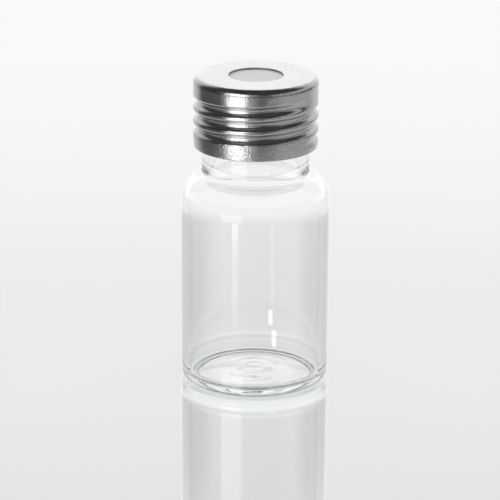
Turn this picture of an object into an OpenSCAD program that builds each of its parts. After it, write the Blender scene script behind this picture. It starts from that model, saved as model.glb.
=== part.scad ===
// Screw-neck glass sample vial with a rolled steel screw cap over a disc septum.
// Millimetres, +Z up. The origin is the centre of the ring that the vial stands on.
// Three pieces: the glass vial, the septum on its rim, and the cap that holds it down.

/* [Glass body] */
// Outer diameter of the body
body_d = 22.5; // [20:0.1:26]
// Height from the table to the rim
vial_h = 46; // [36:0.5:75]
// Height from the top of the straight body to the rim
neck_h = 17; // [15.5:0.1:20]
// Thickness of the body's wall
body_wall = 1; // [0.7:0.05:1.4]
// Outer radius of the heel, where wall meets floor
heel_r = 1.5; // [1:0.1:2.6]
// Radius of the corner inside the heel
heel_inner_r = 1.8; // [0.8:0.1:2.4]
// Thickness of the floor
floor_t = 0.9; // [0.8:0.1:2]
// Height of the hollow under the floor
punt_h = 0.5; // [0.2:0.1:1]
// Width of the flat ring that the vial stands on
foot_w = 2.6; // [0.6:0.1:3.4]

/* [Shoulder and neck] */
// Outer radius of the shoulder's crown
shoulder_r = 3.4; // [2.4:0.1:4]
// Outer radius of the hollow where shoulder meets neck
neck_fillet_r = 1; // [0.6:0.1:2.2]
// Inner radius of the shoulder's crown
shoulder_inner_r = 2.4; // [1.8:0.1:3.2]
// Inner radius of the bend from the shoulder into the mouth
throat_r = 3.2; // [1:0.1:3.6]
// Drop of the inner shoulder below the outer one
shoulder_drop = 0.35; // [0.2:0.05:1.2]
// Outer diameter of the neck between its threads
neck_d = 16.2; // [15:0.1:17]
// Diameter of the mouth
mouth_d = 12.7; // [11:0.1:13.5]
// Radius on the rim's outer edge
rim_outer_r = 0.6; // [0.3:0.05:0.8]
// Radius on the rim's inner edge
rim_inner_r = 0.5; // [0.2:0.05:0.8]

/* [Thread] */
// Diameter over the glass thread
thread_d = 17.8; // [17:0.1:18.6]
// Rise of the thread in one turn
pitch = 2.08; // [2:0.02:2.2]
// Turns of thread on the glass
glass_turns = 2; // [1:0.25:2.25]
// Width of the glass thread at its crest
glass_crest_w = 0.45; // [0.3:0.05:0.7]
// Angle from +X at which the glass thread starts
glass_start = 80; // [40:10:140]
// Turns of thread rolled into the cap
cap_turns = 3.05; // [2.5:0.05:3.1]
// Angle from +X at which the rolled thread starts
cap_start = -45; // [-60:5:0]
// Width of the rolled groove at the cap's surface
groove_w = 1.65; // [1.3:0.05:1.8]
// Height of the rolled thread above the cap's lower edge, where it first passes +X
thread_rise = 1.75; // [1.5:0.05:2]

/* [Cap] */
// Height of the cap
cap_h = 10.8; // [10.4:0.1:12]
// Thickness of the cap's steel sheet
sheet_t = 0.3; // [0.2:0.05:0.4]
// Radius inside the cap's upper corner
cap_corner_r = 0.8; // [0.4:0.1:1.1]
// Rounding of the cap's lower edge
cap_edge_r = 0.1; // [0.04:0.02:0.1]
// Diameter of the hole in the cap's top
hole_d = 8.2; // [5:0.1:10]

/* [Septum] */
// Thickness of the septum
septum_t = 1.3; // [1:0.1:2]
// Rounding of the septum's edges
septum_edge_r = 0.3; // [0.1:0.05:0.45]

/* [Fits] */
// Gap between the glass thread's crest and the cap's wall
crest_gap = 0.2; // [0.1:0.05:0.4]
// Gap between the rolled thread and the root of the neck
root_gap = 0.45; // [0.2:0.05:0.6]
// Gap between the septum's edge and the cap's corner
septum_gap = 0.05; // [0.02:0.01:0.3]

/* [Hidden] */
$fn = 96;
over = 0.5;
step_deg = 9;
run_out_deg = 45;
trough_steps = 6;
trough_reach = 1.2;
flank_deg = 30;

body_r = body_d / 2;
neck_r = neck_d / 2;
mouth_r = mouth_d / 2;
thread_r = thread_d / 2;
foot_r = body_r - heel_r;
body_h = vial_h - neck_h;

cap_inner_r = thread_r + crest_gap;
cap_r = cap_inner_r + sheet_t;
groove_depth = cap_inner_r - neck_r - root_gap;
septum_r = cap_inner_r - cap_corner_r + septum_edge_r - septum_gap;
septum_z = vial_h;
cap_roof_z = septum_z + septum_t;
cap_top_z = cap_roof_z + sheet_t;
cap_low_z = cap_top_z - cap_h;
thread_z = cap_low_z + thread_rise;

// Height above a crown arc's centre of the fillet centre that makes the two arcs tangent
function fillet_rise(wide_r, narrow_r, crown_r, fillet_r) =
    sqrt(pow(crown_r + fillet_r, 2) - pow(narrow_r + fillet_r - wide_r + crown_r, 2));

// Radius of the circle through the middle and the ends of a low arch
function arch_radius(half_span, rise) = (half_span * half_span + rise * rise) / (2 * rise);

// Height of the thread's centre line at an angle turned from +X
function thread_height(angle) = thread_z + pitch * angle / 360;

// How far a run-out has faded: 1 at either end of the thread, 0 once it is at full depth
function fade(angle, full) =
    let (left = min(angle, full - angle) / run_out_deg)
    left >= 1 ? 0 : pow(cos(90 * left), 2);

// Sweeps a closed outline, given as [radius, height] points, up the thread's helix
module helix_sweep(start, full, outline, retreat, lift) {
    rings = ceil(full / step_deg);
    count = len(outline);
    points = [
        for (i = [0 : rings])
            let (turned = full * i / rings, angle = start + turned, back = retreat * fade(turned, full))
            for (p = outline)
                [
                    (p[0] + back) * cos(angle),
                    (p[0] + back) * sin(angle),
                    p[1] + thread_height(angle) + lift
                ]
    ];
    sides = [
        for (i = [0 : rings - 1])
            for (j = [0 : count - 1])
                let (a = i * count + j, b = i * count + (j + 1) % count)
                for (face = [[a, b, b + count], [a, b + count, a + count]])
                    face
    ];
    ends = [
        [for (j = [count - 1 : -1 : 0]) j],
        [for (j = [0 : count - 1]) rings * count + j]
    ];
    polyhedron(points, concat(sides, ends));
}

// Outline of a round trough sunk into a wall of the given radius, with flanks that run on past it
function trough(wall_r) =
    let (outer_r = wall_r + groove_depth + over, reach = trough_reach * groove_w / 2)
    concat(
        [[outer_r, -reach], [outer_r, reach]],
        [
            for (i = [0 : trough_steps])
                let (across = trough_reach * (1 - 2 * i / trough_steps))
                [wall_r - groove_depth * cos(90 * across), across * groove_w / 2]
        ]
    );

// Half section of a bottle: a straight body, a crowned shoulder and a neck, from z_low to z_high
module bottle_section(wide_r, narrow_r, crown_r, fillet_r, z_low, z_crown, z_high) {
    z_fillet = z_crown + fillet_rise(wide_r, narrow_r, crown_r, fillet_r);
    crown_x = wide_r - crown_r;
    fillet_x = narrow_r + fillet_r;
    translate([0, z_low])
        square([wide_r, z_crown - z_low]);
    translate([0, z_low])
        square([narrow_r, z_high - z_low]);
    intersection() {
        translate([crown_x, z_crown])
            circle(crown_r);
        translate([0, z_crown - over])
            square([wide_r + over, crown_r + 2 * over]);
    }
    difference() {
        polygon([[0, z_low], [crown_x, z_crown], [fillet_x, z_fillet], [0, z_fillet]]);
        translate([fillet_x, z_fillet])
            circle(fillet_r);
    }
}

// Takes a quarter-round off an outer corner at [x, y] that points up or down
module round_corner(x, y, r, up = true) {
    translate([x - r, up ? y - r : y + r])
        scale([1, up ? 1 : -1])
            difference() {
                square(r + over);
                circle(r);
            }
}

// Half section of the hollow inside the vial, with its arched floor and flared mouth
module hollow_section() {
    inner_r = body_r - body_wall;
    arch_r = arch_radius(foot_r - foot_w, punt_h);
    difference() {
        bottle_section(
            inner_r, mouth_r, shoulder_inner_r, throat_r,
            floor_t, body_h - shoulder_drop, vial_h + over
        );
        round_corner(inner_r, floor_t, heel_inner_r, up = false);
        translate([0, floor_t + punt_h - arch_r])
            intersection() {
                circle(arch_r, $fn = 4 * $fn);
                square([inner_r, arch_r + over]);
            }
    }
    difference() {
        translate([0, vial_h - rim_inner_r])
            square([mouth_r + rim_inner_r, rim_inner_r + over]);
        translate([mouth_r + rim_inner_r, vial_h - rim_inner_r])
            circle(rim_inner_r);
    }
}

// Half section of the glass, turned about the axis
module glass_section() {
    arch_r = arch_radius(foot_r - foot_w, punt_h);
    difference() {
        bottle_section(body_r, neck_r, shoulder_r, neck_fillet_r, 0, body_h, vial_h);
        hollow_section();
        round_corner(body_r, 0, heel_r, up = false);
        round_corner(neck_r, vial_h, rim_outer_r);
        translate([0, punt_h - arch_r])
            intersection() {
                circle(arch_r, $fn = 4 * $fn);
                square([foot_r - foot_w, arch_r + over]);
            }
    }
}

module glass_thread() {
    root_r = neck_r - (neck_r - mouth_r) / 2;
    crest = glass_crest_w / 2;
    root = crest + (thread_r - root_r) * tan(flank_deg);
    helix_sweep(
        glass_start, 360 * glass_turns,
        [[root_r, -root], [thread_r, -crest], [thread_r, crest], [root_r, root]],
        -(thread_r - root_r) * 0.8, pitch / 2
    );
}

module vial() {
    color([0.86, 0.90, 0.90, 0.35]) {
        rotate_extrude()
            glass_section();
        glass_thread();
    }
}

module septum() {
    color([0.80, 0.78, 0.80])
        translate([0, 0, septum_z])
            rotate_extrude()
                difference() {
                    square([septum_r, septum_t]);
                    round_corner(septum_r, septum_t, septum_edge_r);
                    round_corner(septum_r, 0, septum_edge_r, up = false);
                }
}

// Round bar with rounded ends, the form of the cap's outside and of its hollow
module cap_plug(r, z_low, z_high, corner_r, edge_r) {
    rotate_extrude()
        difference() {
            translate([0, z_low])
                square([r, z_high - z_low]);
            round_corner(r, z_high, corner_r);
            round_corner(r, z_low, edge_r, up = false);
        }
}

module cap() {
    turned = 360 * cap_turns;
    retreat = groove_depth + sheet_t / 2;
    color([0.78, 0.78, 0.77])
        difference() {
            cap_plug(cap_r, cap_low_z, cap_top_z, cap_corner_r + sheet_t, cap_edge_r);
            helix_sweep(cap_start, turned, trough(cap_r), retreat, 0);
            difference() {
                cap_plug(cap_inner_r, cap_low_z - over, cap_roof_z, cap_corner_r, cap_edge_r);
                helix_sweep(cap_start, turned, trough(cap_inner_r), retreat, 0);
            }
            translate([0, 0, cap_roof_z - over])
                cylinder(d = hole_d, h = sheet_t + 2 * over);
        }
}

vial();
septum();
cap();
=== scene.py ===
"""Looks of a screw-neck glass sample vial: clear glass, a rolled steel screw cap and a disc septum.

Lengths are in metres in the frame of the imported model: +Z is the vial's axis and its foot stands at
z = 0. Every round piece is a section in the XZ plane, spun about that axis, and the two threads are
pressed into the spun walls along helices of one pitch.
"""

import logging
import math
from collections.abc import Callable, Iterable
from dataclasses import dataclass, field
from enum import Enum

import bmesh
import bpy
from mathutils import Euler, Matrix, Vector, noise


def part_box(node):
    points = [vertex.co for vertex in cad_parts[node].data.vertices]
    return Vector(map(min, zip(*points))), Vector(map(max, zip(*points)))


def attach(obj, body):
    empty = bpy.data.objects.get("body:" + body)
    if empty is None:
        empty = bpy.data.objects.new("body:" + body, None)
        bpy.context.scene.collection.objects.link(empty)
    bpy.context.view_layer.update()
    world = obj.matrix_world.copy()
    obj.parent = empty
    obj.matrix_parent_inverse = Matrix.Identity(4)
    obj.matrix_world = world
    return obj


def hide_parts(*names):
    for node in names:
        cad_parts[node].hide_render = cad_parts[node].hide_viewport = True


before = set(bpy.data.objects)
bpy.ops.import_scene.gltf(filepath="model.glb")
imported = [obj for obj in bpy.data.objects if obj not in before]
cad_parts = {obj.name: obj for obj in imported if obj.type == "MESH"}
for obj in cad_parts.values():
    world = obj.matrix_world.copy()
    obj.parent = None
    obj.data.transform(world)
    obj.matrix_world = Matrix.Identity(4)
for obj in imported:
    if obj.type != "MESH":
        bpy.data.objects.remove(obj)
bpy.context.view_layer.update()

MM = 0.001
SLACK = MM / 10  # margin of the limits that pick a stretch of a wall
POLE = MM / 100  # radius within which a point lies on the axis
MERGE = MM / 1000  # distance within which points are merged
BOUNCES = 128
WHITE = (1.0, 1.0, 1.0)
LOG = logging.getLogger("vial")


class Body(Enum):
    """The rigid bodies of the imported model."""

    VIAL = "vial"
    SEPTUM = "septum"
    CAP = "cap"


class Slot(Enum):
    """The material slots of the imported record."""

    GLASS = "clear_glass"
    RUBBER = "septum_rubber"
    STEEL = "plated_steel"


# ---------------------------------------------------------------------------- shader helpers


class Signal:
    """A number that varies over a surface; arithmetic on it adds Math nodes."""

    def __init__(self, shader: "Shader", socket: bpy.types.NodeSocket) -> None:
        """Wraps one output socket of a node tree."""
        self.shader = shader
        self.socket = socket

    def math(self, operation: str, *others: "Signal | float") -> "Signal":
        """Adds one Math node.

        Args:
            operation: Name of the Math node's operation.
            others: Its further inputs, as signals or numbers.

        Returns:
            The node's result.
        """
        values = dict(enumerate((self, *others)))
        node = self.shader.node("ShaderNodeMath", {"operation": operation}, values)
        return Signal(self.shader, node.outputs[0])

    def __add__(self, other: "Signal | float") -> "Signal":
        """self + other."""
        return self.math("ADD", other)

    __radd__ = __add__

    def __sub__(self, other: "Signal | float") -> "Signal":
        """self - other."""
        return self.math("SUBTRACT", other)

    def __rsub__(self, other: float) -> "Signal":
        """other - self."""
        return (self * -1.0).math("ADD", other)

    def __mul__(self, other: "Signal | float") -> "Signal":
        """self * other."""
        return self.math("MULTIPLY", other)

    __rmul__ = __mul__

    def smooth(self, low: float, high: float) -> "Signal":
        """Eases from 0 at low to 1 at high.

        Args:
            low: Value up to which the result is 0.
            high: Value from which it is 1, which may be the smaller one.

        Returns:
            The eased signal.
        """
        values = {"Value": self, "From Min": low, "From Max": high}
        node = self.shader.node("ShaderNodeMapRange", {"interpolation_type": "SMOOTHSTEP"}, values)
        return Signal(self.shader, node.outputs[0])

    def band(self, centre: float, half_width: float, softness: float) -> "Signal":
        """1 within half_width of centre, easing to 0 over softness on both sides."""
        off = (self - centre).math("ABSOLUTE")
        return off.smooth(half_width + softness, half_width)


class Shader:
    """The node tree of one material or world."""

    def __init__(self, owner: "bpy.types.Material | bpy.types.World") -> None:
        """Empties the owner's node tree and gives it an output.

        Args:
            owner: The material or world.
        """
        owner.use_nodes = True
        self.tree = owner.node_tree
        self.tree.nodes.clear()
        kind = "ShaderNodeOutputWorld" if isinstance(owner, bpy.types.World) else "ShaderNodeOutputMaterial"
        self.output = self.node(kind)

    def node(self, kind: str, settings: dict | None = None, values: dict | None = None) -> bpy.types.Node:
        """Adds a node.

        Args:
            kind: The node's type.
            settings: Attributes set first; the key "stops" fills a colour ramp with (place, colour) pairs.
            values: Input sockets by name or number, as numbers, colours, sockets or signals.

        Returns:
            The new node.
        """
        node = self.tree.nodes.new(kind)
        for name, value in (settings or {}).items():
            if name == "stops":
                self._fill_ramp(node.color_ramp, value)
            else:
                setattr(node, name, value)
        for name, value in (values or {}).items():
            source = value.socket if isinstance(value, Signal) else value
            if isinstance(source, bpy.types.NodeSocket):
                self.tree.links.new(source, node.inputs[name])
            else:
                node.inputs[name].default_value = source
        return node

    @staticmethod
    def _fill_ramp(ramp: bpy.types.ColorRamp, stops: Iterable[tuple[float, tuple]]) -> None:
        """Replaces a ramp's stops.

        Args:
            ramp: The colour ramp.
            stops: Its new places and colours, from the lowest up.
        """
        while len(ramp.elements) > 1:
            ramp.elements.remove(ramp.elements[-1])
        for i, (place, colour) in enumerate(stops):
            element = ramp.elements[0] if i == 0 else ramp.elements.new(place)
            element.position = place
            element.color = (*colour, 1.0)

    def coordinates(self, output: str = "Object", scale: Vector | None = None) -> bpy.types.NodeSocket:
        """Texture coordinates, optionally stretched.

        Args:
            output: The Texture Coordinate output to read.
            scale: Factors along the three axes, or None.

        Returns:
            The vector socket.
        """
        socket = self.node("ShaderNodeTexCoord").outputs[output]
        if scale is None:
            return socket
        return self.node("ShaderNodeMapping", None, {"Vector": socket, "Scale": scale}).outputs[0]

    def axes(self, socket: bpy.types.NodeSocket) -> tuple[Signal, Signal, Signal]:
        """Splits a vector into three signals."""
        split = self.node("ShaderNodeSeparateXYZ", None, {0: socket})
        return tuple(Signal(self, out) for out in split.outputs)

    def noise(self, vector: bpy.types.NodeSocket, scale: float, detail: float = 2.0) -> Signal:
        """Noise around one half, with features about 1 / scale long."""
        values = {"Vector": vector, "Scale": scale, "Detail": detail}
        return Signal(self, self.node("ShaderNodeTexNoise", None, values).outputs[0])

    def mix_colour(
        self, factor: Signal, low: "tuple | bpy.types.NodeSocket", high: "tuple | bpy.types.NodeSocket"
    ) -> bpy.types.NodeSocket:
        """Blends two colours by a signal.

        Args:
            factor: Runs from 0 for the first colour to 1 for the second.
            low: The first colour, or a socket that gives it.
            high: The second one.

        Returns:
            The colour socket.
        """
        first, second = ((*end, 1.0) if isinstance(end, tuple) else end for end in (low, high))
        values = {0: factor, 6: first, 7: second}
        return self.node("ShaderNodeMix", {"data_type": "RGBA"}, values).outputs[2]

    def bump(self, height: Signal, distance: float) -> bpy.types.NodeSocket:
        """A normal bent by a height, where a height of 1 stands for distance metres."""
        return self.node("ShaderNodeBump", None, {"Height": height, "Distance": distance}).outputs[0]

    def light_path(self, output: str) -> Signal:
        """One output of the Light Path node."""
        return Signal(self, self.node("ShaderNodeLightPath").outputs[output])

    def surface(self, kind: str, values: dict) -> None:
        """Adds the shader that the output shows."""
        self.tree.links.new(self.node(kind, None, values).outputs[0], self.output.inputs["Surface"])


# ---------------------------------------------------------------------------- finishes


@dataclass(frozen=True)
class ClearGlass:
    """Drawn borosilicate tube: clear, faintly sea-green at the outside of the heel, a little uneven.

    Attributes:
        heel_low: Height up to which the heel's tint is full.
        heel_high: Height where it has faded.
        heel_reach: Distance from the axis where it starts.
        heel_full: Distance from the axis where it is full.
        line_scale: Draw lines to the metre, round the wall.
        line_stretch: How many of them there are along the axis, for each one round the wall.
        ripple: Their depth.
    """

    colour: tuple = (0.985, 0.990, 0.988)
    heel_colour: tuple = (0.89, 0.965, 0.97)
    ior: float = 1.48
    roughness: float = 0.0
    heel_low: float = 0.32 * MM
    heel_high: float = 1.6 * MM
    heel_reach: float = 9.4 * MM
    heel_full: float = 10.4 * MM
    line_scale: float = 260.0
    line_stretch: float = 0.12
    ripple: float = 0.006 * MM

    def material(self) -> bpy.types.Material:
        """Builds the material.

        Returns:
            The material, named after its slot.
        """
        owner = bpy.data.materials.new(Slot.GLASS.value)
        shader = Shader(owner)
        x, y, z = shader.axes(shader.coordinates())
        outside = (x * x + y * y).smooth(self.heel_reach**2, self.heel_full**2)
        heel = outside * z.smooth(self.heel_high, self.heel_low)
        stretched = shader.coordinates(scale=Vector((1.0, 1.0, self.line_stretch)))
        lines = shader.noise(stretched, self.line_scale, detail=1.0)
        values = {
            "Base Color": shader.mix_colour(heel, self.colour, self.heel_colour),
            "Roughness": self.roughness,
            "IOR": self.ior,
            "Transmission Weight": 1.0,
            "Normal": shader.bump(lines, self.ripple),
        }
        shader.surface("ShaderNodeBsdfPrincipled", values)
        return owner


@dataclass(frozen=True)
class PlatedSteel:
    """Bright plating over fine-grained sheet steel: satin, with a sparkle at the edges of lights.

    Attributes:
        pit_colour: Colour of the grain's pits and dull patches, and of the painted shade at the hole's cut
            edge.
        roughness_spread: How much the roughness varies from patch to patch.
        skirt_low: Height up to which the skirt's coarser finish is full.
        skirt_high: Height where the smoother top starts.
        hole_shade_reach: Distance from the axis within which painted shade darkens the hole's cut edge.
        hole_shade_full: Distance within which that painted shade is full.
        grain_scale: Grains to the metre.
        grain_depth: Depth of the grain on the top; the skirt has twice as much.
        grain_slope: Values of the grain between which pits set in.
        cloud_scale: Patches to the metre.
        cloud_slope: Values of the patches between which they turn dull.
        cloud_share: Share of the pit colour in a dull patch.
        pit_share: Share of the pit colour in a pit.
        skirt_pit_share: What the skirt's pits have on top of that.
    """

    colour: tuple = (0.75, 0.738, 0.738)
    pit_colour: tuple = (0.30, 0.29, 0.29)
    roughness: float = 0.19
    skirt_roughness: float = 0.23
    roughness_spread: float = 0.08
    skirt_low: float = 39.0 * MM
    skirt_high: float = 40.0 * MM
    hole_shade_reach: float = 4.2 * MM
    hole_shade_full: float = 4.12 * MM
    grain_scale: float = 4000.0
    grain_depth: float = 0.028 * MM
    grain_slope: tuple = (0.53, 0.64)
    cloud_scale: float = 240.0
    cloud_slope: tuple = (0.35, 0.7)
    cloud_share: float = 0.08
    pit_share: float = 0.13
    skirt_pit_share: float = 0.32

    def material(self) -> bpy.types.Material:
        """Builds the material.

        Returns:
            The material, named after its slot.
        """
        owner = bpy.data.materials.new(Slot.STEEL.value)
        shader = Shader(owner)
        place = shader.coordinates()
        grain = shader.noise(place, self.grain_scale)
        cloud = shader.noise(place, self.cloud_scale, detail=3.0)
        x, y, z = shader.axes(place)
        skirt = z.smooth(self.skirt_high, self.skirt_low)
        # Painted shade darkens the hole's cut edge; below, it is summed with the plating's own dull
        # patches.
        cut = (x * x + y * y).smooth(self.hole_shade_reach**2, self.hole_shade_full**2)
        rough = self.roughness + (self.skirt_roughness - self.roughness) * skirt
        dull = cut + self.cloud_share * cloud.smooth(*self.cloud_slope)
        pits = (self.pit_share + self.skirt_pit_share * skirt) * grain.smooth(*self.grain_slope)
        values = {
            "Base Color": shader.mix_colour(dull + pits, self.colour, self.pit_colour),
            "Metallic": 1.0,
            "Roughness": rough + self.roughness_spread * (cloud - 0.5),
            "Normal": shader.bump(grain * (1.0 + skirt), self.grain_depth),
        }
        shader.surface("ShaderNodeBsdfPrincipled", values)
        return owner


@dataclass(frozen=True)
class SiliconeRubber:
    """Pale, faintly lilac silicone sheet with a soft matt face and a paler hidden underside.

    Attributes:
        facing_top: Height up to which the underside's colour is full.
        facing_edge: Height over which it fades above that.
        mottle_scale: Clouds to the metre.
        depth: Depth of the clouds.
    """

    colour: tuple = (0.70, 0.675, 0.71)
    cloud_colour: tuple = (0.64, 0.62, 0.655)
    facing_colour: tuple = (0.9, 0.9, 0.89)
    facing_top: float = 46.15 * MM
    facing_edge: float = 0.05 * MM
    ior: float = 1.41
    roughness: float = 0.5
    roughness_spread: float = 0.15
    mottle_scale: float = 700.0
    depth: float = 0.01 * MM

    def material(self) -> bpy.types.Material:
        """Builds the material.

        Returns:
            The material, named after its slot.
        """
        owner = bpy.data.materials.new(Slot.RUBBER.value)
        shader = Shader(owner)
        place = shader.coordinates()
        cloud = shader.noise(place, self.mottle_scale, detail=3.0)
        face = shader.mix_colour(cloud, self.colour, self.cloud_colour)
        under = shader.axes(place)[2].smooth(self.facing_top + self.facing_edge, self.facing_top)
        values = {
            "Base Color": shader.mix_colour(under, face, self.facing_colour),
            "Roughness": self.roughness + self.roughness_spread * (cloud - 0.5),
            "IOR": self.ior,
            "Normal": shader.bump(cloud, self.depth),
        }
        shader.surface("ShaderNodeBsdfPrincipled", values)
        return owner


# ---------------------------------------------------------------------------- mesh helpers


@dataclass(frozen=True)
class Corner:
    """One corner of a section, in metres.

    Attributes:
        r: Distance from the axis.
        z: Height.
        reach: How far its rounding reaches back along both edges; 0 leaves it sharp.
        segments: Edges in the rounding.
    """

    r: float
    z: float
    reach: float = 0.0
    segments: int = 8


@dataclass(frozen=True)
class Helix:
    """A right-hand helix about +Z that a wall follows over part of its length.

    Attributes:
        height: Height of its centre line where it passes +X.
        pitch: Rise in one turn.
        start: Angle from +X at which it starts, in radians.
        turns: Its length in turns.
        run_out: Angle over which it fades at both ends, in radians.
    """

    height: float
    pitch: float
    start: float
    turns: float
    run_out: float = math.radians(45)

    def depth(self, angle: float, z: float, width: float, crown: float) -> float:
        """How far a point is into the thread's form.

        Args:
            angle: The point's angle about +Z, in radians.
            z: Its height.
            width: Width of the thread's form along the axis.
            crown: Share of the width that is at full depth, rounded at its edges.

        Returns:
            0 outside the thread and 1 on its centre line.
        """
        nearest = round((z - self.height) / self.pitch - angle / math.tau)
        turned = angle + math.tau * nearest
        inside = min(turned - self.start, self.start + math.tau * self.turns - turned)
        if inside <= 0.0:
            return 0.0
        fade = math.sin(math.pi / 2 * min(1.0, inside / self.run_out)) ** 2
        off = abs(z - self.height - self.pitch * turned / math.tau) / (width / 2)
        slope = min(1.0, max(0.0, (1.0 - off) / (1.0 - crown)))
        return fade * slope * slope * (3.0 - 2.0 * slope)


class Lathe:
    """Builds round pieces: a section is drawn, rounded, cut finely, eased, spun and pressed."""

    def __init__(self, steps: int) -> None:
        """Starts an empty mesh that spins in the given number of steps."""
        self.mesh = bmesh.new()
        self.steps = steps

    def section(self, corners: list[Corner], closed: bool = False) -> None:
        """Draws a section and rounds its corners.

        Args:
            corners: The section's corners in order.
            closed: Whether an edge joins the last corner to the first.
        """
        verts = [self.mesh.verts.new((c.r, 0.0, c.z)) for c in corners]
        pairs = list(zip(verts, verts[1:] + verts[:1]))
        for a, b in pairs if closed else pairs[:-1]:
            self.mesh.edges.new((a, b))
        for vert, corner in zip(verts, corners):
            if corner.reach > 0.0:
                bmesh.ops.bevel(
                    self.mesh, geom=[vert], offset=corner.reach, offset_type="OFFSET",
                    segments=corner.segments, profile=0.5, affect="VERTICES", material=-1,
                )

    def refine(self, low: float, high: float, size: float, reach: float = 0.0) -> None:
        """Cuts the section's edges into short pieces.

        Args:
            low: Height above which an edge's middle has to lie.
            high: Height below which it has to lie.
            size: Longest piece that is left.
            reach: Least distance of the middle from the axis.
        """
        for edge in list(self.mesh.edges):
            middle = (edge.verts[0].co + edge.verts[1].co) / 2
            length = edge.calc_length()
            if low < middle.z < high and middle.x > reach and length > size:
                bmesh.ops.subdivide_edges(self.mesh, edges=[edge], cuts=math.ceil(length / size) - 1)

    def relax(self, low: float, high: float, rounds: int) -> None:
        """Evens out the section between two heights, so that its roundings run into each other.

        Args:
            low: Height where the stretch starts.
            high: Height where it ends.
            rounds: How often each point moves towards the middle of its neighbours.
        """
        verts = [vert for vert in self.mesh.verts if low < vert.co.z < high and vert.co.x > 0.0]
        for _ in range(rounds):
            bmesh.ops.smooth_vert(
                self.mesh, verts=verts, factor=0.5, use_axis_x=True, use_axis_y=True, use_axis_z=True
            )

    def spin(self) -> None:
        """Turns the section about +Z into a closed surface."""
        geom = self.mesh.verts[:] + self.mesh.edges[:]
        bmesh.ops.spin(
            self.mesh, geom=geom, cent=(0, 0, 0), axis=(0, 0, 1), dvec=(0, 0, 0), angle=math.tau,
            steps=self.steps, use_merge=True, use_normal_flip=False, use_duplicate=False,
        )
        bmesh.ops.remove_doubles(self.mesh, verts=self.mesh.verts[:], dist=MERGE)
        bmesh.ops.recalc_face_normals(self.mesh, faces=self.mesh.faces[:])

    def press(self, move: Callable[[float, float, float], float]) -> None:
        """Moves every point off the axis in or out.

        Args:
            move: Takes radius, angle and height, and returns the change of radius.
        """
        for vert in self.mesh.verts:
            r = math.hypot(vert.co.x, vert.co.y)
            if r > POLE:
                angle = math.atan2(vert.co.y, vert.co.x)
                factor = 1.0 + move(r, angle, vert.co.z) / r
                vert.co.x *= factor
                vert.co.y *= factor

    def lift(self, move: Callable[[float, float, float], float]) -> None:
        """Moves every point up or down.

        Args:
            move: Takes x, y and z, and returns the change of height.
        """
        for vert in self.mesh.verts:
            vert.co.z += move(*vert.co)

    def finish(self, name: str) -> bpy.types.Object:
        """Turns the mesh into a smooth-shaded object at the origin.

        Args:
            name: The object's name.

        Returns:
            The object, linked to the scene.
        """
        for face in self.mesh.faces:
            face.smooth = True
        return place_mesh(self.mesh, name)


def place_mesh(mesh: bmesh.types.BMesh, name: str) -> bpy.types.Object:
    """Puts a mesh into the scene as an object at the origin.

    Args:
        mesh: The mesh, which is freed.
        name: Name of the object and of its data.

    Returns:
        The object.
    """
    data = bpy.data.meshes.new(name)
    mesh.to_mesh(data)
    mesh.free()
    piece = bpy.data.objects.new(name, data)
    bpy.context.scene.collection.objects.link(piece)
    return piece


def dress(piece: bpy.types.Object, material: bpy.types.Material, body: Body) -> None:
    """Gives a piece its material and lets it stand for a CAD node.

    Args:
        piece: The piece.
        material: Its only material.
        body: The body that the piece rides on, whose CAD node of that name it replaces.
    """
    piece.data.materials.append(material)
    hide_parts(body.value)
    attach(piece, body.value)


# ---------------------------------------------------------------------------- the object


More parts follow.
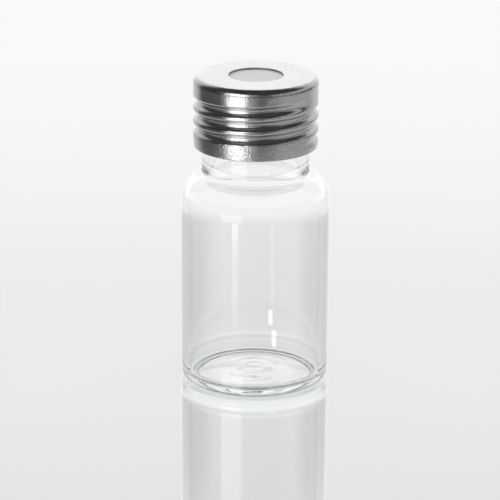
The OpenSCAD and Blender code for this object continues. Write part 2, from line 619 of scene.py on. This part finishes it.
@dataclass
class GlassVial:
    """The blown glass body with its shoulder, threaded neck and rim.

    Attributes:
        low: Lower corner of the body's box.
        high: Upper corner of the body's box.
        helix: Centre line of the raised thread.
        punt: Height of the hollow under the floor.
        foot_width: Width of the flat ring that the vial stands on.
        crown: Radius of the shoulder's convex rounding.
        fillet: Radius of the concave one where it meets the neck.
        inner_drop: How much lower the shoulder starts inside.
        thread_crown: Share of the thread's width that is at full height.
        steps: Stretches round the axis.
        arch_steps: Stretches in the floor's arch.
        fine: Longest stretch of the section at heel and shoulder.
        thread_fine: Longest stretch of the neck's outside.
        coarse: Longest stretch of straight walls.
        eased: Height over which heel and shoulder run into the straight wall.
        bend_low: Height above the crown's start from which the outside's bend is cut twice as finely.
        bend_high: Height above the crown's start where the easing ends and the neck runs straight.
        neck_low: Height above the crown's start up to which the neck's outside is cut twice as finely.
        neck_high: The same height for its inside.
        ring_height: Height of the floor's soft rings, ring_width apart.
        pool_height: Height of the floor's pools, about pool_width wide.
        pool_reach: Distance from the axis where rings and pools have faded.
    """

    low: Vector
    high: Vector
    helix: Helix
    finish: ClearGlass = field(default_factory=ClearGlass)
    wall: float = 1.0 * MM
    floor: float = 0.9 * MM
    punt: float = 0.5 * MM
    foot_width: float = 2.6 * MM
    heel: float = 1.2 * MM
    inner_heel: float = 1.3 * MM
    neck_length: float = 17.0 * MM
    neck_radius: float = 8.1 * MM
    mouth_radius: float = 6.35 * MM
    crown: float = 3.4 * MM
    fillet: float = 1.0 * MM
    inner_crown: float = 2.4 * MM
    throat: float = 3.2 * MM
    inner_drop: float = 0.35 * MM
    rim_outer: float = 0.6 * MM
    rim_inner: float = 0.5 * MM
    thread_radius: float = 8.9 * MM
    thread_width: float = 1.35 * MM
    thread_crown: float = 0.3
    steps: int = 212
    arch_steps: int = 42
    fine: float = 0.18 * MM
    thread_fine: float = 0.16 * MM
    coarse: float = 0.8 * MM
    eased: float = 4.0 * MM
    eased_rounds: int = 60
    heel_rounds: int = 30
    bend_low: float = 4.0 * MM
    bend_high: float = 5.0 * MM
    neck_low: float = 5.6 * MM
    neck_high: float = 5.8 * MM
    ring_height: float = 0.02 * MM
    ring_width: float = 2.1 * MM
    pool_height: float = 0.08 * MM
    pool_width: float = 4.6 * MM
    pool_reach: float = 6.4 * MM

    @property
    def wide(self) -> float:
        """Radius of the body."""
        return (self.high.x - self.low.x) / 2

    @property
    def hollow(self) -> float:
        """Radius of the hollow under the floor."""
        return self.wide - self.heel - self.foot_width

    @property
    def crown_z(self) -> float:
        """Height where the straight body ends and the shoulder's crown starts."""
        return self.high.z - self.neck_length

    def arch(self, z: float) -> list[Corner]:
        """A low arch over the foot's hollow, from the axis outwards.

        Args:
            z: Height of its end.

        Returns:
            The arch's points, without its end.
        """
        shares = [i / self.arch_steps for i in range(self.arch_steps)]
        return [Corner(self.hollow * share, z + self.punt * (1.0 - share * share)) for share in shares]

    def shoulder(self, wide: float, narrow: float, crown: float, fillet: float, z: float) -> list[Corner]:
        """The two corners whose roundings make a crowned shoulder that runs into a neck.

        Args:
            wide: Radius of the body's wall.
            narrow: Radius of the neck's wall.
            crown: Radius of the convex rounding.
            fillet: Radius of the concave rounding.
            z: Height at which the convex rounding starts.

        Returns:
            The corner at the body and the corner at the neck.
        """
        across = wide - narrow - crown - fillet
        rise = math.sqrt((crown + fillet) ** 2 - across**2)
        # Both corners turn by the same angle, so their tangent lengths share one factor.
        tangent = math.tan(math.atan2(rise, -across) / 2)
        body = Corner(wide, z + crown * tangent, crown * tangent, segments=20)
        neck = Corner(narrow, z + rise - fillet * tangent, fillet * tangent, segments=14)
        return [body, neck]

    def outside(self) -> list[Corner]:
        """The section's outside, from the axis under the floor to the rim.

        Returns:
            Its corners.
        """
        return [
            *self.arch(0.0),
            Corner(self.hollow, 0.0),
            Corner(self.wide, 0.0, self.heel, segments=14),
            Corner(self.wide, self.eased),
            Corner(self.wide, self.crown_z - self.eased),
            *self.shoulder(self.wide, self.neck_radius, self.crown, self.fillet, self.crown_z),
            Corner(self.neck_radius, self.high.z, self.rim_outer, segments=10),
        ]

    def inside(self) -> list[Corner]:
        """The section's inside, from the rim to the axis on the floor.

        Returns:
            Its corners.
        """
        inner = self.wide - self.wall
        crown_z = self.crown_z - self.inner_drop
        body, neck = self.shoulder(inner, self.mouth_radius, self.inner_crown, self.throat, crown_z)
        return [
            Corner(self.mouth_radius, self.high.z, self.rim_inner, segments=8),
            neck,
            body,
            Corner(inner, self.crown_z - self.eased),
            Corner(inner, self.eased),
            Corner(inner, self.floor, self.inner_heel, segments=12),
            Corner(self.hollow, self.floor),
            *reversed(self.arch(self.floor)),
        ]

    def ease(self, lathe: Lathe) -> None:
        """Cuts the section finely where it bends or carries the thread, and evens its roundings out.

        Args:
            lathe: Holds the section.
        """
        under = self.low.z - MM
        rim_z = self.high.z - self.rim_outer
        outer_wall = self.neck_radius - SLACK
        lathe.refine(under, self.eased, self.fine)
        lathe.relax(under, self.eased, self.heel_rounds)
        lathe.refine(self.eased, self.crown_z - self.eased, self.coarse)
        lathe.refine(self.crown_z - self.eased, self.crown_z + MM, self.fine)
        lathe.refine(self.crown_z + self.bend_high, rim_z, self.coarse)
        lathe.refine(self.crown_z + self.bend_low, self.crown_z + self.neck_low, self.fine / 2, outer_wall)
        lathe.refine(self.crown_z + self.bend_high, self.crown_z + self.neck_high, self.fine / 2)
        lathe.refine(self.crown_z + self.neck_low, rim_z, self.thread_fine, outer_wall)
        lathe.relax(self.crown_z - self.eased + SLACK, self.crown_z + self.bend_high, self.eased_rounds)

    def build(self) -> bpy.types.Object:
        """Builds and dresses the vial.

        Returns:
            The finished piece.
        """
        lathe = Lathe(self.steps)
        lathe.section(self.outside() + self.inside())
        self.ease(lathe)
        lathe.spin()
        lathe.press(self.pressed)
        lathe.lift(self.pooled)
        piece = lathe.finish("glass_vial")
        dress(piece, self.finish.material(), Body.VIAL)
        return piece

    def pressed(self, r: float, angle: float, z: float) -> float:
        """Raises the thread on the neck's outside.

        Args:
            r: Distance from the axis.
            angle: Angle about +Z, in radians.
            z: Height.

        Returns:
            The change of radius.
        """
        if r < self.neck_radius - SLACK or z < self.crown_z + self.bend_high:
            return 0.0
        depth = self.helix.depth(angle, z, self.thread_width, self.thread_crown)
        return depth * (self.thread_radius - self.neck_radius)

    def pooled(self, x: float, y: float, z: float) -> float:
        """Makes the floor's inside run in rings and pools, as hot glass does.

        Args:
            x: Place along +X.
            y: Place along +Y.
            z: Height.

        Returns:
            The change of height.
        """
        r = math.hypot(x, y)
        if r > self.pool_reach or not self.floor - SLACK < z < self.floor + self.punt + SLACK:
            return 0.0
        fade = (1.0 - (r / self.pool_reach) ** 2) ** 2
        rings = self.ring_height * math.cos(math.tau * r / self.ring_width)
        pools = self.pool_height * noise.noise(Vector((x, y, 0.0)) / self.pool_width)
        return fade * (rings + pools)


@dataclass
class ScrewCap:
    """The steel cap: a drawn cup with a centre hole and a thread rolled through its wall.

    Attributes:
        low: Lower corner of the cap's box.
        high: Upper corner of the cap's box.
        helix: Centre line of the rolled groove.
        sheet: Thickness of the sheet.
        corner: Radius of the top's outer rounding.
        groove_crown: Share of the groove's width that is at full depth.
        skirt: Height over which the wall curls in towards its lower edge.
        curl: How far it curls in there.
        steps: Stretches round the axis.
        fine: Longest stretch of the wall's section.
        coarse: Longest stretch of the top's section.
    """

    low: Vector
    high: Vector
    helix: Helix
    finish: PlatedSteel = field(default_factory=PlatedSteel)
    sheet: float = 0.3 * MM
    corner: float = 1.1 * MM
    hole_radius: float = 4.1 * MM
    hole_edge: float = 0.05 * MM
    low_edge: float = 0.1 * MM
    groove_depth: float = 0.55 * MM
    groove_width: float = 1.85 * MM
    groove_crown: float = 0.12
    skirt: float = 2.6 * MM
    curl: float = 0.12 * MM
    steps: int = 256
    fine: float = 0.09 * MM
    coarse: float = 0.3 * MM

    def build(self) -> bpy.types.Object:
        """Builds and dresses the cap.

        Returns:
            The finished piece.
        """
        wide = (self.high.x - self.low.x) / 2
        low, top = self.low.z, self.high.z
        corners = [
            Corner(wide - self.sheet, low, self.low_edge, segments=4),
            Corner(wide, low, self.low_edge, segments=4),
            Corner(wide, top, self.corner, segments=14),
            Corner(self.hole_radius, top, self.hole_edge, segments=4),
            Corner(self.hole_radius, top - self.sheet, self.hole_edge, segments=4),
            Corner(wide - self.sheet, top - self.sheet, self.corner - self.sheet, segments=12),
        ]
        lathe = Lathe(self.steps)
        lathe.section(corners, closed=True)
        lathe.refine(low + self.low_edge, top - self.corner, self.fine)
        lathe.refine(top - self.sheet / 2, top + self.sheet / 2, self.coarse)
        lathe.spin()
        lathe.press(self.pressed)
        piece = lathe.finish("screw_cap")
        dress(piece, self.finish.material(), Body.CAP)
        return piece

    def pressed(self, r: float, angle: float, z: float) -> float:
        """Rolls the groove into the wall and curls the skirt in.

        Args:
            r: Distance from the axis, on which the change doesn't depend.
            angle: Angle about +Z, in radians.
            z: Height.

        Returns:
            The change of radius.
        """
        below = max(0.0, (self.low.z + self.skirt - z) / self.skirt)
        groove = self.helix.depth(angle, z, self.groove_width, self.groove_crown)
        return -self.groove_depth * groove - self.curl * below * below


@dataclass
class Septum:
    """The silicone disc between rim and cap, bare inside the cap's hole.

    Attributes:
        low: Lower corner of the septum's box.
        high: Upper corner of the septum's box.
        edge: Radius of its rounded edges.
        seat_gap: Gap that keeps its underside off the glass rim.
        bare_radius: Radius of a ring of points that keeps the bare face's shading flat.
        bare_reach: How far that ring reaches in and out.
        steps: Stretches round the axis.
    """

    low: Vector
    high: Vector
    finish: SiliconeRubber = field(default_factory=SiliconeRubber)
    edge: float = 0.3 * MM
    seat_gap: float = 0.01 * MM
    bare_radius: float = 4.1 * MM
    bare_reach: float = 0.1 * MM
    steps: int = 128

    def build(self) -> bpy.types.Object:
        """Builds and dresses the septum.

        Returns:
            The finished piece.
        """
        wide = (self.high.x - self.low.x) / 2
        seat, top = self.low.z + self.seat_gap, self.high.z
        corners = [
            Corner(0.0, seat),
            Corner(wide, seat, self.edge, segments=6),
            Corner(wide, top, self.edge, segments=6),
            Corner(self.bare_radius, top, self.bare_reach, segments=3),
            Corner(0.0, top),
        ]
        lathe = Lathe(self.steps)
        lathe.section(corners)
        lathe.spin()
        piece = lathe.finish("septum_disc")
        dress(piece, self.finish.material(), Body.SEPTUM)
        return piece


# ---------------------------------------------------------------------------- the studio


@dataclass(frozen=True)
class Table:
    """A wide pale disc that mirrors most of the light and keeps a soft shadow.

    Attributes:
        gap: How far it lies below the vial's foot.
        mirror_share: Share of the light that it mirrors seen at a low angle.
        steep_mirror_share: The same share seen from above.
        turn: Values of Facing between which the first takes over from the second.
    """

    radius: float = 30.0
    sides: int = 96
    gap: float = 0.02 * MM
    colour: tuple = (0.86, 0.86, 0.86, 1.0)
    mirror_colour: tuple = (0.9, 0.9, 0.9, 1.0)
    mirror_share: float = 0.95
    steep_mirror_share: float = 0.5
    turn: tuple = (0.35, 0.62)

    def build(self) -> None:
        """Builds the table."""
        mesh = bmesh.new()
        bmesh.ops.create_circle(mesh, cap_ends=True, segments=self.sides, radius=self.radius)
        bmesh.ops.translate(mesh, verts=mesh.verts[:], vec=(0.0, 0.0, -self.gap))
        table = place_mesh(mesh, "table")
        table.data.materials.append(self.material())

    def material(self) -> bpy.types.Material:
        """Builds the table's material.

        Returns:
            The material.
        """
        owner = bpy.data.materials.new("table")
        shader = Shader(owner)
        matt = shader.node("ShaderNodeBsdfDiffuse", None, {"Color": self.colour})
        mirror = shader.node(
            "ShaderNodeBsdfAnisotropic", None, {"Color": self.mirror_colour, "Roughness": 0.0}
        )
        facing = shader.node("ShaderNodeLayerWeight", None, {"Blend": 0.5}).outputs["Facing"]
        gain = self.mirror_share - self.steep_mirror_share
        share = self.steep_mirror_share + gain * Signal(shader, facing).smooth(*self.turn)
        shader.surface("ShaderNodeMixShader", {0: share, 1: matt.outputs[0], 2: mirror.outputs[0]})
        return owner


@dataclass(frozen=True)
class Lamp:
    """A soft-edged lamp in the room.

    Attributes:
        strength: Its brightness, where 1 is white.
        bearing: The band of bearings that it covers.
        foot: The slope of heights at its lower end.
        head: The slope of heights at its upper end.
    """

    strength: float
    bearing: tuple
    foot: tuple
    head: tuple

    def glow(self, bearing: Signal, z: Signal) -> Signal:
        """Its light from a bearing and a height."""
        return self.strength * bearing.band(*self.bearing) * z.smooth(*self.foot) * z.smooth(*self.head)


@dataclass(frozen=True)
class Room:
    """Soft light from all round, with a pale backdrop, a dark side, a lamp strip and small lamps.

    What is seen straight, through clear glass or mirrored once is the backdrop, which is the same
    all round, so the picture's ground is pale from every side. Satin metal shows the room itself,
    and so do the vial's upright walls, because the table mirrors what they mirror once more.

    A direction is told by its bearing, in degrees from the camera's side and positive towards +X,
    and by its height, which is the sine of its angle above the table. A band is a centre, a half
    width and a softness, and a slope is the value where it is 0 and the value where it is 1.

    Attributes:
        backdrop: Heights and the backdrop's brightness there.
        backdrop_gain: Strength of the world's light where it shows the backdrop.
        gain: Its strength where it shows the room.
        dark: Brightness of the dark side.
        cards: Band of heights that the side lights and the strip cover.
        side_lights: Brightness and band of bearings of a side card, and of the strip's two halos.
        strip: Band of bearings of the lamp strip.
        strip_strength: Its brightness.
        notch: Band of heights where it is dimmed.
        notch_depth: How much it is dimmed there.
        back_lights: Brightness of the room's back and the slopes of bearings where it sets in.
        back_head: Slope of heights where it ends.
        dim: How much darker than white the sides are by way of the glass.
        dim_sides: Slope of bearings where that sets in.
        dimmer: What is added to it at the middle of the sides.
        dimmer_sides: Slope of bearings where the addition ends.
        dim_foot: Slope of heights where it starts.
        dim_head: Slope of heights where it ends.
        lamps: The small lamps: a tall one, its bright foot, a faint one, and two short ones.
        veil: How much the glass takes from the backdrop.
        veil_foot: Slope of heights where that starts.
        veil_gap: Band of heights that stays free of it.
        floor_light: What is added to the backdrop through the glass floor.
        floor_layers: Slope of how many faces of glass lie in between.
        floor_foot: Slope of heights where the addition starts.
        mirror_limit: Number of mirrorings above which the room shows in place of the backdrop.
    """

    backdrop: tuple = (
        (0.0, 1.06), (0.25, 1.055), (0.29, 1.01), (0.33, 0.935),
        (0.37, 0.915), (0.41, 0.86), (0.46, 0.97), (1.0, 0.97),
    )
    backdrop_gain: float = 1.2
    gain: float = 2.0
    dark: float = 0.04
    cards: tuple = (0.34, 0.17, 0.08)
    side_lights: tuple = (
        (0.40, (84.0, 38.0, 16.0)), (0.25, (-30.0, 22.0, 14.0)), (0.08, (-5.0, 14.0, 12.0)),
    )
    strip: tuple = (-36.0, 13.0, 7.0)
    strip_strength: float = 2.8
    notch: tuple = (0.330, 0.031, 0.006)
    notch_depth: float = 0.85
    back_lights: tuple = ((0.62, (118.0, 136.0)), (0.49, (144.0, 168.0)))
    back_head: tuple = (0.80, 0.65)
    dim: float = 0.30
    dim_sides: tuple = (70.0, 100.0)
    dimmer: float = 0.45
    dimmer_sides: tuple = (134.0, 122.0)
    dim_foot: tuple = (0.285, 0.315)
    dim_head: tuple = (0.46, 0.38)
    lamps: tuple = (
        Lamp(2.0, (-31.0, 4.5, 1.0), (0.300, 0.303), (0.356, 0.336)),
        Lamp(3.0, (-31.0, 4.5, 1.0), (0.300, 0.303), (0.325, 0.312)),
        Lamp(1.5, (27.0, 3.0, 1.5), (0.290, 0.294), (0.345, 0.335)),
        Lamp(8.0, (24.6, 2.6, 1.4), (0.3414, 0.3426), (0.3478, 0.3466)),
        Lamp(8.0, (30.6, 3.0, 1.6), (0.3486, 0.3500), (0.3558, 0.3544)),
    )
    veil: float = 0.11
    veil_foot: tuple = (0.250, 0.314)
    veil_gap: tuple = (0.363, 0.006, 0.009)
    floor_light: float = 0.45
    floor_layers: tuple = (5.0, 6.0)
    floor_foot: tuple = (0.340, 0.352)
    mirror_limit: float = 1.5

    def build(self) -> None:
        """Builds the room as the scene's world."""
        world = bpy.data.worlds.new("room")
        world.cycles.sampling_method = "NONE"
        bpy.context.scene.world = world
        shader = Shader(world)
        x, y, z = shader.axes(shader.coordinates("Generated"))
        bearing = x.math("ARCTAN2", y * -1.0) * math.degrees(1.0)
        aside = bearing.math("ABSOLUTE")
        layers = shader.light_path("Transmission Depth")
        through = layers.math("MINIMUM", 1.0)
        outside = self.front(bearing, z) + self.back(aside, z)
        level = (through * self.inside(aside, z) + (1.0 - through) * outside) * (1.0 / self.gain)
        studio = shader.node("ShaderNodeCombineColor", None, {0: level, 1: level, 2: level}).outputs[0]
        seen = self.seen(shader)
        colour = shader.mix_colour(seen, studio, self.pale(shader, z))
        veil = self.veil * z.smooth(*self.veil_foot) * (1.0 - z.band(*self.veil_gap)) * through
        floor = self.floor_light * layers.smooth(*self.floor_layers) * z.smooth(*self.floor_foot)
        strength = self.gain - (self.gain - self.backdrop_gain + veil - floor) * seen
        # Matt faces get plain white light, so that their colours render as they are written.
        diffuse = shader.light_path("Is Diffuse Ray")
        values = {
            "Color": shader.mix_colour(diffuse, colour, WHITE),
            "Strength": strength * (1.0 - diffuse) + diffuse,
        }
        shader.surface("ShaderNodeBackground", values)

    def pale(self, shader: Shader, z: Signal) -> bpy.types.NodeSocket:
        """The backdrop's colour, which its gain brings up to the brightness in the list."""
        stops = [(height, (level / self.backdrop_gain,) * 3) for height, level in self.backdrop]
        return shader.node("ShaderNodeValToRGB", {"stops": stops}, {0: z}).outputs[0]

    def seen(self, shader: Shader) -> Signal:
        """Tells where the backdrop shows.

        Args:
            shader: The world's node tree.

        Returns:
            1 straight, through clear glass and mirrored once, and 0 on satin or mirrored again.
        """
        few = shader.light_path("Glossy Depth").math("LESS_THAN", self.mirror_limit)
        clear = shader.light_path("Is Singular Ray") * few
        return (clear + shader.light_path("Is Camera Ray")).math("MINIMUM", 1.0)

    def front(self, bearing: Signal, z: Signal) -> Signal:
        """Light from the camera's side and from left and right of it, with all the lamps.

        Args:
            bearing: Bearing of the direction.
            z: Its height.

        Returns:
            The brightness.
        """
        soft = sum(strength * bearing.band(*band) for strength, band in self.side_lights)
        notch = 1.0 - self.notch_depth * z.band(*self.notch)
        strip = self.strip_strength * bearing.band(*self.strip) * notch
        lamps = sum(lamp.glow(bearing, z) for lamp in self.lamps)
        return self.dark + z.band(*self.cards) * (soft + strip) + lamps

    def back(self, aside: Signal, z: Signal) -> Signal:
        """Light from the room's back, brightest opposite the camera."""
        rise = sum(strength * aside.smooth(*slope) for strength, slope in self.back_lights)
        return rise * z.smooth(*self.back_head)

    def inside(self, aside: Signal, z: Signal) -> Signal:
        """The room where it is seen by way of the glass: white, with dimmed sides."""
        dim = aside.smooth(*self.dim_sides) * (self.dim + self.dimmer * aside.smooth(*self.dimmer_sides))
        return 1.0 - dim * z.smooth(*self.dim_foot) * z.smooth(*self.dim_head)


@dataclass(frozen=True)
class Camera:
    """The camera: a long lens that looks down on the vial a little, with a hair of roll.

    Attributes:
        distance: Its distance from the point on the vial's axis that it looks at.
        elevation: Angle that it looks down by, in radians.
        aim_height: Height of that point.
        focal: Focal length, in millimetres.
        sensor: Width of the sensor, in millimetres.
        shift: Shift of the picture to the right and up, as shares of its width.
        roll: Turn about the line of sight, in radians.
        nearest: Distance up to which nothing is shown.
    """

    distance: float = 0.4036
    elevation: float = math.radians(18.2)
    aim_height: float = 0.0238
    focal: float = 191.75
    sensor: float = 36.0
    shift: tuple = (-0.0102, -0.0467)
    roll: float = math.radians(0.36)
    nearest: float = 0.01

    def build(self) -> None:
        """Builds the camera and makes it the scene's."""
        data = bpy.data.cameras.new("camera")
        data.sensor_width = self.sensor
        data.lens = self.focal
        data.shift_x, data.shift_y = self.shift
        data.clip_start = self.nearest
        camera = bpy.data.objects.new("camera", data)
        place = Vector((0.0, -math.cos(self.elevation), math.sin(self.elevation))) * self.distance
        camera.location = place + Vector((0.0, 0.0, self.aim_height))
        turn = Euler((math.pi / 2 - self.elevation, 0.0, 0.0)).to_matrix()
        camera.rotation_euler = (turn @ Matrix.Rotation(self.roll, 3, "Z")).to_euler()
        bpy.context.scene.collection.objects.link(camera)
        bpy.context.scene.camera = camera


def main() -> None:
    """Builds the vial, its septum and cap, and the studio round them."""
    logging.basicConfig(level=logging.INFO, format="%(name)s: %(message)s")
    scene = bpy.context.scene
    scene.view_settings.view_transform = "Standard"
    scene.cycles.max_bounces = BOUNCES
    scene.cycles.glossy_bounces = BOUNCES
    scene.cycles.transmission_bounces = BOUNCES
    cap_low, cap_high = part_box(Body.CAP.value)
    groove = Helix(height=cap_low.z + 1.75 * MM, pitch=2.08 * MM, start=math.radians(-45), turns=3.05)
    # The glass thread lies midway between the groove's turns, so that it stays clear of them.
    ridge = Helix(groove.height + groove.pitch / 2, groove.pitch, start=math.radians(80), turns=2.0)
    pieces = [
        GlassVial(*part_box(Body.VIAL.value), ridge).build(),
        Septum(*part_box(Body.SEPTUM.value)).build(),
        ScrewCap(cap_low, cap_high, groove).build(),
    ]
    for piece in pieces:
        LOG.info("%s: %d faces", piece.name, len(piece.data.polygons))
    Table().build()
    Room().build()
    Camera().build()


if __name__ == "__main__":
    main()
